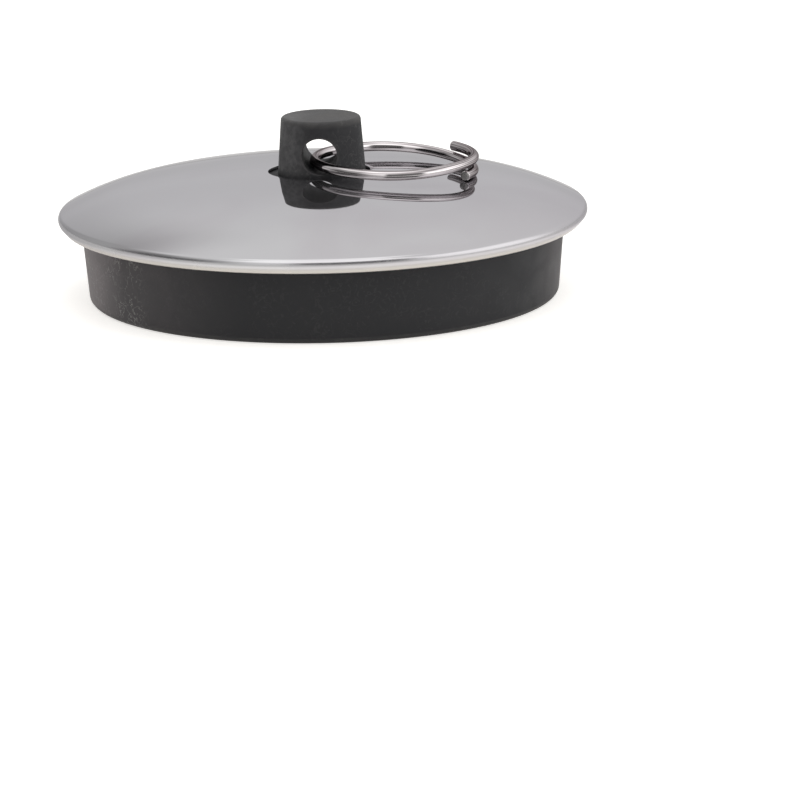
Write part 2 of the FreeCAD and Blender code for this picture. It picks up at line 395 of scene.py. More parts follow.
@dataclass(frozen=True)
class PolishedSteel:
    """Pressed stainless sheet, buffed to a mirror under a thin haze, with smears and hairline scratches."""

    name: str = "polished_steel"
    clean: Colour = (0.545, 0.54, 0.55, 1.0)
    hazed: Colour = (0.515, 0.50, 0.515, 1.0)
    # painted light: the crimped wall's paler, warmer colour stands in for the bright floor mirrored there
    crimped: Colour = (0.67, 0.64, 0.595, 1.0)
    painted_light_heights: Pair = (11.6 * MM, 12.3 * MM)
    edge_tint: Colour = (0.70, 0.69, 0.71, 1.0)
    metallic: float = 0.96
    roughness: float = 0.03
    smear_roughness: float = 0.015
    scratch_roughness: float = 0.06
    bend_roughness: float = 0.24
    smear: Grain = Grain(38.0, 3.0, 0.6, (0.42, 0.68))
    streak: Grain = Grain(210.0, 2.0, 0.3)
    streak_stretch: Triple = (1.0, 6.0, 1.0)
    streak_line: Pair = (0.5, 0.006)
    crossing: Grain = Grain(210.0, 2.0, 0.4)
    crossing_stretch: Triple = (7.0, 1.3, 1.0)
    crossing_line: Pair = (0.47, 0.005)

    def material(self) -> bpy.types.Material:
        """Builds the finish: smears from broad noise, scratches from thin level lines of stretched noise.

        Returns:
            The material.
        """
        material, sheet, shader = new_material(self.name)
        place = sheet.place()
        smear = sheet.patches(place, self.smear)
        streak = sheet.noise(sheet.stretched(place, self.streak_stretch), self.streak)
        crossing = sheet.noise(sheet.stretched(place, self.crossing_stretch), self.crossing)
        streak = sheet.line(streak, *self.streak_line)
        crossing = sheet.line(crossing, *self.crossing_line)
        scratch = sheet.math("MULTIPLY", sheet.math("MAXIMUM", streak, crossing), smear)
        # painted light on the crimped wall, full below the lower height and none above the upper
        painted_light = sheet.between(sheet.axis(place, "Z"), *self.painted_light_heights, 1.0, 0.0)
        dulling = [
            (smear, self.smear_roughness),
            (scratch, self.scratch_roughness),
            (sheet.mark(Mark.WEAR, "Fac"), self.bend_roughness),
        ]
        sheet.fill(shader, {
            "Base Color": sheet.layered(self.clean, (smear, self.hazed), (painted_light, self.crimped)),
            "Roughness": sheet.raised(self.roughness, *dulling),
            "Metallic": self.metallic,
            "Specular Tint": self.edge_tint,
        })
        return material


@dataclass(frozen=True)
class MouldedRubber:
    """Matt black rubber: moulded grain, grey bloom, dust and painted sheen at the sides, strokes on one side,
    rubbed edges.
    """

    name: str = "moulded_rubber"
    deep: Colour = (0.0125, 0.0125, 0.0145, 1.0)
    bloom: Colour = (0.0185, 0.0185, 0.0205, 1.0)
    # dust, with painted grazing sheen: the pale colour laid on the skirt's sides
    dust_and_sheen: Colour = (0.250, 0.224, 0.228, 1.0)
    knob_bloom: Colour = (0.086, 0.084, 0.086, 1.0)
    stroke: Colour = (0.29, 0.28, 0.27, 1.0)
    rubbed: Colour = (0.075, 0.072, 0.070, 1.0)
    roughness: float = 0.56
    rough_spread: float = 0.14
    specular: float = 0.31
    cloud: Grain = Grain(140.0, 4.0, 0.8, (0.35, 0.7))
    # dust and painted grazing sheen on the near side, thinning into a veil; painted grazing sheen alone at
    # the far edge
    dust_and_sheen_band: Pair = (-36.5 * MM, -24.5 * MM)
    least_dust_and_sheen: float = 0.75
    veiled: Pair = (-30.0 * MM, -8.0 * MM)
    veil: float = 0.24
    far_sheen_band: Pair = (31.5 * MM, 36.5 * MM)
    far_painted_sheen: float = 0.22
    patch: Grain = Grain(112.0, 2.0, 0.0, (0.36, 0.56))
    strokes: Grain = Grain(620.0, 2.0, 1.0)
    stroke_line: Pair = (0.5, 0.026)
    speck: Grain = Grain(1500.0, 1.0, 0.0, (0.68, 0.76))
    stroked: Pair = (-28.0 * MM, -24.0 * MM)
    far_strokes: float = 0.03
    knob_level: Pair = (18.0 * MM, 20.0 * MM)
    knob_side: Pair = (-4.5 * MM, -1.0 * MM)
    knob_far: float = 0.15
    knob_specks: float = 0.12
    mottle: Grain = Grain(1100.0, 3.0, 0.0, (0.35, 0.65))
    least_mottle: float = 0.6
    rub_clouds: Pair = (0.1, 0.9)
    least_rub: float = 0.45
    grain: Grain = Grain(7000.0)
    grain_height: float = 0.012 * MM
    grain_strength: float = 0.5

    def dust_and_sheen_share(self, sheet: NodeSheet, across: Socket, cloud: Socket) -> Socket:
        """Dust and painted grazing sheen by the distance across: full at one side, a veil next to it, a
        little at the other side.

        Args:
            sheet: The finish's node sheet.
            across: Distance along X.
            cloud: Clouds that thin the dust and painted sheen.

        Returns:
            How much of the dust and painted sheen colour lies on a point.
        """
        near = sheet.between(across, *self.dust_and_sheen_band, 1.0, 0.0)
        near = sheet.math("MAXIMUM", near, sheet.between(across, *self.veiled, self.veil, 0.0))
        # painted grazing sheen at the far side's edge
        both = sheet.math("ADD", near, sheet.between(across, *self.far_sheen_band, 0.0, self.far_painted_sheen))
        return sheet.math("MULTIPLY", both, sheet.between(cloud, 0.0, 1.0, self.least_dust_and_sheen, 1.0))

    def dust_share(self, sheet: NodeSheet, place: Socket, across: Socket, knob: Socket) -> Socket:
        """Strokes as level lines of noise and specks as the peaks of finer noise, in patches.

        Args:
            sheet: The finish's node sheet.
            place: Where a point lies.
            across: Distance along X.
            knob: 1 on the knob.

        Returns:
            How much of a stroke or speck covers a point.
        """
        side = sheet.between(across, *self.stroked, 1.0, self.far_strokes)
        side = sheet.math("MAXIMUM", side, sheet.math("MULTIPLY", knob, self.knob_specks))
        stroke = sheet.line(sheet.noise(place, self.strokes), *self.stroke_line)
        marks = sheet.math("MAXIMUM", stroke, sheet.patches(place, self.speck))
        return sheet.math("MULTIPLY", marks, sheet.patches(place, self.patch), side)

    def material(self) -> bpy.types.Material:
        """Builds the finish: clouds of bloom, mottled bloom on the knob, dust and painted sheen, rubbed edges
        and strokes.

        Returns:
            The material.
        """
        material, sheet, shader = new_material(self.name)
        place = sheet.place()
        across, height = sheet.axis(place, "X"), sheet.axis(place, "Z")
        cloud = sheet.patches(place, self.cloud)
        knob = sheet.between(height, *self.knob_level)
        mottle = sheet.patches(place, self.mottle, self.least_mottle)
        side = sheet.between(across, *self.knob_side, 1.0, self.knob_far)
        rub = sheet.between(cloud, *self.rub_clouds, self.least_rub, 1.0)
        layers = [
            (cloud, self.bloom),
            (sheet.math("MULTIPLY", knob, mottle, side), self.knob_bloom),
            # dust and painted grazing sheen on the skirt's sides
            (self.dust_and_sheen_share(sheet, across, cloud), self.dust_and_sheen),
            (sheet.math("MULTIPLY", sheet.mark(Mark.WEAR, "Fac"), rub), self.rubbed),
            (self.dust_share(sheet, place, across, knob), self.stroke),
        ]
        sheet.fill(shader, {
            "Base Color": sheet.layered(self.deep, *layers),
            "Roughness": sheet.raised(self.roughness, (cloud, self.rough_spread)),
            "Normal": sheet.bump(sheet.noise(place, self.grain), self.grain_height, self.grain_strength),
            "Specular IOR Level": self.specular,
        })
        return material


@dataclass(frozen=True)
class DrawnWire:
    """Bright drawn steel wire with lines along its length, dark reflection streaks painted along them, and
    ends cut by pliers.
    """

    name: str = "drawn_wire"
    bright: Colour = (0.74, 0.70, 0.705, 1.0)
    # painted reflection: dark streaks along the wire's lines stand in for dark surroundings mirrored in it
    painted_dark_streak: Colour = (0.25, 0.225, 0.23, 1.0)
    cut: Colour = (0.40, 0.39, 0.38, 1.0)
    edge_tint: Colour = (0.34, 0.32, 0.325, 1.0)
    metallic: float = 1.0
    roughness: float = 0.04
    line_roughness: float = 0.06
    cut_roughness: float = 0.42
    lines: Grain = Grain(5.0, 4.0, 0.0, (0.42, 0.62))
    line_length: float = 12.0 * MM
    line_depth: float = 0.01 * MM
    line_strength: float = 0.7

    def material(self) -> bpy.types.Material:
        """Builds the finish from noise on (cos a, sin a, distance along), whose lines follow the wire as
        bumps, rougher lines and painted dark reflection streaks.

        Returns:
            The material.
        """
        material, sheet, shader = new_material(self.name)
        lay = sheet.mark(Mark.LAY, "Vector")
        along = 1.0 / (self.line_length * self.lines.lumps)
        drawn = sheet.noise(sheet.stretched(lay, (1.0, 1.0, along)), self.lines)
        lines = sheet.between(drawn, *self.lines.span)
        cut = sheet.mark(Mark.WEAR, "Fac")
        dulling = [(lines, self.line_roughness), (cut, self.cut_roughness - self.roughness)]
        sheet.fill(shader, {
            # painted dark reflection streaks along the lines, on top of real draw-line bumps and roughness
            "Base Color": sheet.layered(self.bright, (lines, self.painted_dark_streak), (cut, self.cut)),
            "Roughness": sheet.raised(self.roughness, *dulling),
            "Normal": sheet.bump(drawn, self.line_depth, self.line_strength),
            "Metallic": self.metallic,
            "Specular Tint": self.edge_tint,
        })
        return material


# Sub-assemblies


@dataclass(frozen=True)
class Dome:
    """The section that cap and plug share: crown, dome and shoulder, each rounder, and a crimped hem."""

    rim_radius: float = 40.0 * MM
    crown_radius: float = 235.0 * MM
    dome_start: float = 16.0 * MM
    dome_radius: float = 115.0 * MM
    shoulder_start: float = 29.6 * MM
    shoulder_radius: float = 37.5 * MM
    edge_radius: float = 0.95 * MM
    rim_rise: float = 1.5 * MM
    crimp_slope: float = math.radians(132.0)
    fold_radius: float = 0.8 * MM
    hem_foot: float = 11.12 * MM

    @property
    def edge_centre(self) -> Pair:
        """Centre of the bend at the rim."""
        return self.rim_radius - self.edge_radius, self.hem_foot + self.rim_rise

    @property
    def fold_centre(self) -> Pair:
        """Centre of the fold into the lip, set in so that the crimped wall touches the bend and the fold."""
        drop = self.rim_rise - self.fold_radius
        step = self.edge_radius - self.fold_radius + drop * math.cos(self.crimp_slope)
        return self.edge_centre[0] + step / math.sin(self.crimp_slope), self.edge_centre[1] - drop

    @property
    def crown_slope(self) -> float:
        """Slope where the crown meets the dome."""
        return math.asin(self.dome_start / self.crown_radius)

    @property
    def dome_offset(self) -> float:
        """Distance from the axis to the centre of the dome's arc."""
        return self.dome_start - self.dome_radius * math.sin(self.crown_slope)

    @property
    def dome_slope(self) -> float:
        """Slope where the dome meets the shoulder."""
        return math.asin((self.shoulder_start - self.dome_offset) / self.dome_radius)

    @property
    def shoulder_offset(self) -> float:
        """Distance from the axis to the centre of the shoulder's arc."""
        return self.shoulder_start - self.shoulder_radius * math.sin(self.dome_slope)

    @property
    def edge_slope(self) -> float:
        """Slope where the shoulder meets the bend at the rim."""
        reach = self.edge_centre[0] - self.shoulder_offset
        return math.asin(reach / (self.shoulder_radius - self.edge_radius))

    @property
    def shoulder_centre(self) -> Pair:
        """Centre of the shoulder's arc, in line with the centre of the bend."""
        rise = (self.shoulder_radius - self.edge_radius) * math.cos(self.edge_slope)
        return self.shoulder_offset, self.edge_centre[1] - rise

    @property
    def dome_centre(self) -> Pair:
        """Centre of the dome's arc, in line with the shoulder's."""
        rise = (self.dome_radius - self.shoulder_radius) * math.cos(self.dome_slope)
        return self.dome_offset, self.shoulder_centre[1] - rise

    @property
    def crown_centre(self) -> Pair:
        """Centre of the crown, on the axis."""
        rise = (self.crown_radius - self.dome_radius) * math.cos(self.crown_slope)
        return 0.0, self.dome_centre[1] - rise

    @property
    def height(self) -> float:
        """Height of the crown on the axis."""
        return self.crown_centre[1] + self.crown_radius

    def crown_level(self, r: Any) -> Any:
        """Height of the crown at distance r from the axis, on its sphere."""
        return self.crown_centre[1] + np.sqrt(self.crown_radius**2 - np.square(r))

    def rounds(self, depth: float, first: float, counts: tuple[int, int, int]) -> list[np.ndarray]:
        """The arcs of crown, dome and shoulder a depth inside the outer skin, out to the rim's bend.

        Args:
            depth: How far inside the outer skin they run.
            first: Slope at which the crown's arc starts.
            counts: How many points each arc has.

        Returns:
            The three arcs' distances from the axis and heights.
        """
        centres = (self.crown_centre, self.dome_centre, self.shoulder_centre)
        radii = (self.crown_radius, self.dome_radius, self.shoulder_radius)
        slopes = (first, self.crown_slope, self.dome_slope, self.edge_slope)
        stretches = zip(centres, radii, slopes, slopes[1:], counts)
        return [arc(centre, radius - depth, *rest) for centre, radius, *rest in stretches]

    def hem(self, depth: float, count: int) -> np.ndarray:
        """Bend, crimped wall and fold a depth inside the outer skin, from the shoulder to the lip.

        Args:
            depth: How far inside the outer skin it runs.
            count: How many points the bend has; the wall and the fold have half as many.

        Returns:
            The (n, 2) distances from the axis and heights.
        """
        bend = arc(self.edge_centre, self.edge_radius - depth, self.edge_slope, self.crimp_slope, count)
        fold = arc(self.fold_centre, self.fold_radius - depth, self.crimp_slope, math.pi, count // 2)
        return chained([bend, run(tuple(bend[-1]), tuple(fold[0]), count // 2), fold])


@dataclass
class SteelCap:
    """The pressed cap: dome, crimped hem, lip under the flange, and a centre hole a little off the axis."""

    dome: Dome
    finish: PolishedSteel = PolishedSteel()
    sheet: float = 0.5 * MM
    lip_length: float = 1.5 * MM
    hole_radius: float = 7.7 * MM
    hole_shift: float = -0.4 * MM
    edge_radius: float = 0.12 * MM
    shift_reach: float = 8.0 * MM
    dull_reach: float = 0.8
    columns: int = 288
    outer_points: tuple[int, int, int] = (16, 24, 34)
    outer_hem_points: int = 32
    inner_points: tuple[int, int, int] = (8, 10, 12)
    inner_hem_points: int = 12
    mouth_points: int = 6
    lip_points: int = 5
    edge_points: int = 4

    def section(self) -> tuple[np.ndarray, np.ndarray]:
        """The closed section of the sheet, from the hole's upper edge over the hem and back inside.

        Returns:
            The (n, 2) distances from the axis and heights, and how much the bending roughened each point.
        """
        dome, edge, count = self.dome, self.edge_radius, self.edge_points
        start = self.hole_radius + edge
        top = float(dome.crown_level(start))
        first = math.asin(start / dome.crown_radius)
        fold, foot = dome.fold_centre[0], dome.hem_foot
        lip_end, lip_top = fold - self.lip_length + edge, foot + self.sheet
        inner = dome.rounds(self.sheet, first, self.inner_points)
        section = chained([
            arc((start, top - edge), edge, -QUARTER, first, self.mouth_points),
            *dome.rounds(0.0, first, self.outer_points),
            dome.hem(0.0, self.outer_hem_points),
            run((fold, foot), (lip_end, foot), self.lip_points),
            arc((lip_end, foot + edge), edge, 2.0 * QUARTER, 3.0 * QUARTER, count),
            arc((lip_end, lip_top - edge), edge, 3.0 * QUARTER, 4.0 * QUARTER, count),
            run((lip_end, lip_top), (fold, lip_top), self.lip_points),
            dome.hem(self.sheet, self.inner_hem_points)[::-1],
            *[stretch[::-1] for stretch in reversed(inner)],
            arc((start, top - self.sheet + edge), edge, 2.0 * QUARTER, 3.0 * QUARTER, count),
        ])
        bend_top = dome.edge_centre[1] + dome.edge_radius * math.cos(dome.edge_slope)
        return section, smooth_step(bend_top - section[:, 1], 0.0, self.dull_reach * dome.edge_radius)

    def build(self) -> bpy.types.Object:
        """Turns the section; rings near the hole move to the hole's centre, along the crown's sphere.

        Returns:
            The cap, in place of its node.
        """
        section, dulled = self.section()
        points = turned(section, self.columns)
        r = section[:, 0, None]
        mouth = self.hole_radius + 2.0 * self.edge_radius
        share = 1.0 - smooth_step(r, mouth, self.hole_radius + self.shift_reach)
        points[..., 0] += share * self.hole_shift
        moved = np.hypot(points[..., 0], points[..., 1])
        points[..., 2] += np.where(share > 0.0, self.dome.crown_level(moved) - self.dome.crown_level(r), 0.0)
        skin = Skin("steel_cap_sheet")
        quads = grid_quads(len(section), self.columns, closed=True)
        skin.add(points.reshape(-1, 3), [quads], {Mark.WEAR: np.repeat(dulled, self.columns)})
        piece = skin.piece(self.finish.material())
        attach(piece, Body.STOPPER.value)
        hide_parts("steel_cap")
        return piece


@dataclass(frozen=True)
class Stretch:
    """One stretch of the plug's section, and how much it is rubbed."""

    points: np.ndarray
    rub: float = 0.0


@dataclass
class RubberPlug:
    """The moulding: knob with its cross bore, flange inside the cap, tapered skirt and hollow underside."""

    dome: Dome
    finish: MouldedRubber = MouldedRubber()
    lining: float = 0.6 * MM
    web: float = 3.0 * MM
    knob_base: float = 6.6 * MM
    knob_head: float = 6.0 * MM
    knob_height: float = 8.18 * MM
    knob_edge: float = 0.55 * MM
    bore_radius: float = 2.65 * MM
    bore_rise: float = 3.03 * MM
    bore_edge: float = 0.15 * MM
    skirt_top: float = 36.5 * MM
    skirt_foot: float = 35.5 * MM
    foot_wall: float = 4.0 * MM
    foot_edge: float = 1.0 * MM
    inner_edge: float = 0.5 * MM
    core_draft: float = math.radians(1.5)
    corner_radius: float = 2.5 * MM
    window_top: float = 3.5 * MM
    window_foot: float = 3.35 * MM
    top_pole: float = 0.08
    roof_pole: float = 0.04
    top_rub: float = 0.8
    foot_rub: float = 0.45
    sole_rub: float = 0.3
    mouth_rub: float = 0.5
    mouth_fade: int = 8
    bore_rub: float = 0.1
    columns: int = 192
    window_columns: int = 22
    window_rows: int = 28
    mouth_rows: int = 9
    mouth_crowding: float = 0.8
    bore_rows: int = 26
    flange_points: tuple[int, int, int] = (6, 8, 10)
    roof_points: tuple[int, int] = (12, 10)
    wall_points: int = 26
    long_points: int = 12
    round_points: int = 10
    foot_points: int = 9
    short_points: int = 6
    few_points: int = 4
    least_points: int = 3

    @property
    def bore_height(self) -> float:
        """Height of the bore's axis."""
        return self.dome.height + self.bore_rise

    @property
    def knob_taper(self) -> float:
        """How much the knob's radius falls for each metre up."""
        return (self.knob_base - self.knob_head) / self.knob_height

    def knob_radius(self, z: Any) -> Any:
        """Radius of the knob's cone at height z."""
        return self.knob_base - self.knob_taper * (z - self.dome.height)

    def knob_section(self) -> list[Stretch]:
        """The knob from the rim of its flat top, round its edge and down its cone to the lining of the cap.

        Returns:
            The stretches of the section, of which the fourth holds the window for the bore.
        """
        lean = math.atan(self.knob_taper)
        top, edge = self.dome.height + self.knob_height, self.knob_edge
        centre = (float(self.knob_radius(top - edge)) - edge / math.cos(lean), top - edge)
        round_edge = arc(centre, edge, 0.0, QUARTER - lean, self.round_points)
        levels = [self.bore_height + self.window_top, self.bore_height - self.window_foot]
        upper, lower = [(float(self.knob_radius(z)), z) for z in levels]
        slope, lining = self.root_slope(), self.dome.crown_radius - self.lining
        root = (lining * math.sin(slope), self.dome.crown_centre[1] + lining * math.cos(slope))
        flat_top = run((self.top_pole * centre[0], top), (centre[0], top), self.long_points)
        return [
            Stretch(flat_top, self.top_rub),
            Stretch(round_edge, self.top_rub),
            Stretch(run(tuple(round_edge[-1]), upper, self.least_points)),
            Stretch(run(upper, lower, self.window_rows + 1)),
            Stretch(run(lower, root, self.few_points)),
        ]

    def root_slope(self) -> float:
        """Slope on the crown's lining where the knob's cone leaves it.

        Returns:
            The slope, in radians from straight up.
        """
        lean = math.atan(self.knob_taper)
        reach = self.knob_base + self.knob_taper * self.dome.crown_radius
        return math.asin(math.cos(lean) * reach / (self.dome.crown_radius - self.lining)) - lean

    def skirt_section(self) -> list[Stretch]:
        """From the knob's root over the flange, down the skirt, round its foot and up into the hollow.

        Returns:
            The stretches of the section.
        """
        dome, draft = self.dome, self.core_draft
        flange_foot = dome.hem_foot + self.lining
        rise = (self.skirt_top - self.skirt_foot) / dome.hem_foot
        lean = math.atan(rise)
        edge, inner = self.foot_edge, self.inner_edge
        foot_centre = (self.skirt_foot + rise * edge - edge / math.cos(lean), edge)
        foot_round = arc(foot_centre, edge, QUARTER + lean, 2.0 * QUARTER, self.foot_points)
        core = self.skirt_foot - self.foot_wall
        inner_centre = (core - inner * math.tan(draft) + inner / math.cos(draft), inner)
        inner_round = arc(inner_centre, inner, 2.0 * QUARTER, 3.0 * QUARTER - draft, self.short_points)
        corner, roof_slope = self.hollow_corner(core)
        corner_round = arc(corner, self.corner_radius, QUARTER - draft, roof_slope, self.round_points)
        depth = self.lining + self.web
        reach = dome.shoulder_radius - depth
        roof = arc(dome.shoulder_centre, reach, roof_slope, dome.dome_slope, self.least_points)
        pole = self.roof_pole * dome.crown_slope
        crown_roof, dome_roof = dome.rounds(depth, pole, (*self.roof_points, 0))[:2]
        flange_edge = (self.skirt_foot + rise * flange_foot, flange_foot)
        flange = dome.rounds(self.lining, self.root_slope(), self.flange_points)
        sole = run(tuple(foot_round[-1]), tuple(inner_round[0]), self.short_points)
        return [
            *[Stretch(points) for points in flange],
            Stretch(dome.hem(self.lining, self.round_points)),
            Stretch(run((dome.fold_centre[0], flange_foot), flange_edge, self.few_points)),
            Stretch(run(flange_edge, tuple(foot_round[0]), self.wall_points)),
            Stretch(foot_round, self.foot_rub),
            Stretch(sole, self.sole_rub),
            Stretch(inner_round, self.sole_rub),
            Stretch(run(tuple(inner_round[-1]), tuple(corner_round[0]), self.long_points)),
            Stretch(corner_round),
            Stretch(roof),
            Stretch(dome_roof[::-1]),
            Stretch(crown_roof[::-1]),
        ]

    def hollow_corner(self, core: float) -> tuple[Pair, float]:
        """The round between the hollow's drafted wall and its roof.

        Its centre is one corner radius inside the wall and inside the roof's arc, which gives a quadratic in
        its height.

        Args:
            core: Radius of the hollow at the foot.

        Returns:
            The centre of the round, and the slope where it meets the roof.
        """
        fall, radius = math.tan(self.core_draft), self.corner_radius
        across, up = self.dome.shoulder_centre
        reach = self.dome.shoulder_radius - self.lining - self.web - radius
        room = core - radius / math.cos(self.core_draft) - across
        half = room * fall + up
        spare = half * half - (1.0 + fall * fall) * (room * room + up * up - reach * reach)
        z = (half + math.sqrt(spare)) / (1.0 + fall * fall)
        r = across + room - fall * z
        return (r, z), math.atan2(r - across, z - up)

    def bore_rings(self, border: np.ndarray) -> tuple[np.ndarray, np.ndarray]:
        """The surface from a window in the front of the knob, through the bore, to the same window behind.

        Rings shrink from the window to the mouth on the cone, y = -sqrt(R(z)^2 - x^2), turn a quarter round
        into the bore, where the distance from the bore's axis falls as 1 - cos a and the depth grows as
        1 - sin a, and run straight along Y to the mirror image of the same rings.

        Args:
            border: The (n, 3) points of the window's border, in order.

        Returns:
            The (rows, n, 3) rings, and how much each row is rubbed.
        """
        height = self.bore_height
        x, z = border[:, 0], border[:, 2] - height
        turn = np.arctan2(z, x)
        mouth = self.bore_radius + self.bore_edge
        share = np.linspace(0.0, 1.0, self.mouth_rows)[:, None] ** self.mouth_crowding
        outer_x = x + share * (mouth * np.cos(turn) - x)
        outer_z = z + share * (mouth * np.sin(turn) - z)
        bend = np.linspace(QUARTER, 0.0, self.mouth_rows)[1:, None]
        reach = self.bore_radius + self.bore_edge * (1.0 - np.cos(bend))
        sunk = np.concatenate([np.zeros_like(share), self.bore_edge * (1.0 - np.sin(bend))])
        ring_x = np.concatenate([outer_x, reach * np.cos(turn)])
        ring_z = np.concatenate([outer_z, reach * np.sin(turn)]) + height
        ring_y = -(np.sqrt(self.knob_radius(ring_z) ** 2 - ring_x**2) - sunk)
        front = np.stack([ring_x, ring_y, ring_z], axis=-1)
        back = front[::-1] * np.array([1.0, -1.0, 1.0])
        inside = np.linspace(front[-1], back[0], self.bore_rows)[1:-1]
        outer_rub = self.mouth_rub * share[:, 0] ** self.mouth_fade
        rub = np.concatenate([outer_rub, self.mouth_rub * np.sin(bend[:, 0]) + self.bore_rub])
        rubbed = np.concatenate([rub, np.zeros(len(inside)), rub[::-1]])
        return np.concatenate([front, inside, back]), rubbed

    def build(self) -> bpy.types.Object:
        """Turns the section, leaves two windows in the knob and joins them by the bore's rings.

        Returns:
            The plug, in place of its node.
        """
        stretches = self.knob_section() + self.skirt_section()
        section = chained([stretch.points for stretch in stretches])
        counts = [len(stretch.points) - 1 for stretch in stretches]
        counts[0] += 1
        rubbed = np.repeat([stretch.rub for stretch in stretches], counts)
        points = turned(section, self.columns)
        quads = grid_quads(len(section), self.columns)
        top = sum(counts[:3]) - 1
        rows = slice(top, top + self.window_rows)
        half = self.window_columns
        back, front = self.columns // 4, 3 * self.columns // 4  # the columns at +Y and at -Y
        kept = np.ones(quads.shape[:2], dtype=bool)
        for middle in (back, front):
            kept[rows, middle - half : middle + half] = False
        window = points[top : top + self.window_rows + 1, front - half : front + half + 1]
        border = np.concatenate([window[0, :-1], window[:-1, -1], window[-1, :0:-1], window[:0:-1, 0]])
        rings, ring_rub = self.bore_rings(border)
        total = points.shape[0] * points.shape[1]
        poles = np.array([[0.0, 0.0, section[0, 1]], [0.0, 0.0, self.dome.height - self.lining - self.web]])
        faces = [quads[kept], *end_fans(total, self.columns)]
        skin = Skin("rubber_plug_moulding")
        wear = np.concatenate([np.repeat(rubbed, self.columns), rubbed[[0, -1]]])
        skin.add(np.concatenate([points.reshape(-1, 3), poles]), faces, {Mark.WEAR: wear})
        bore_quads = grid_quads(len(rings), len(border))
        skin.add(rings.reshape(-1, 3), [bore_quads], {Mark.WEAR: np.repeat(ring_rub, len(border))})
        piece = skin.piece(self.finish.material())
        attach(piece, Body.STOPPER.value)
        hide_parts("rubber_plug")
        return piece


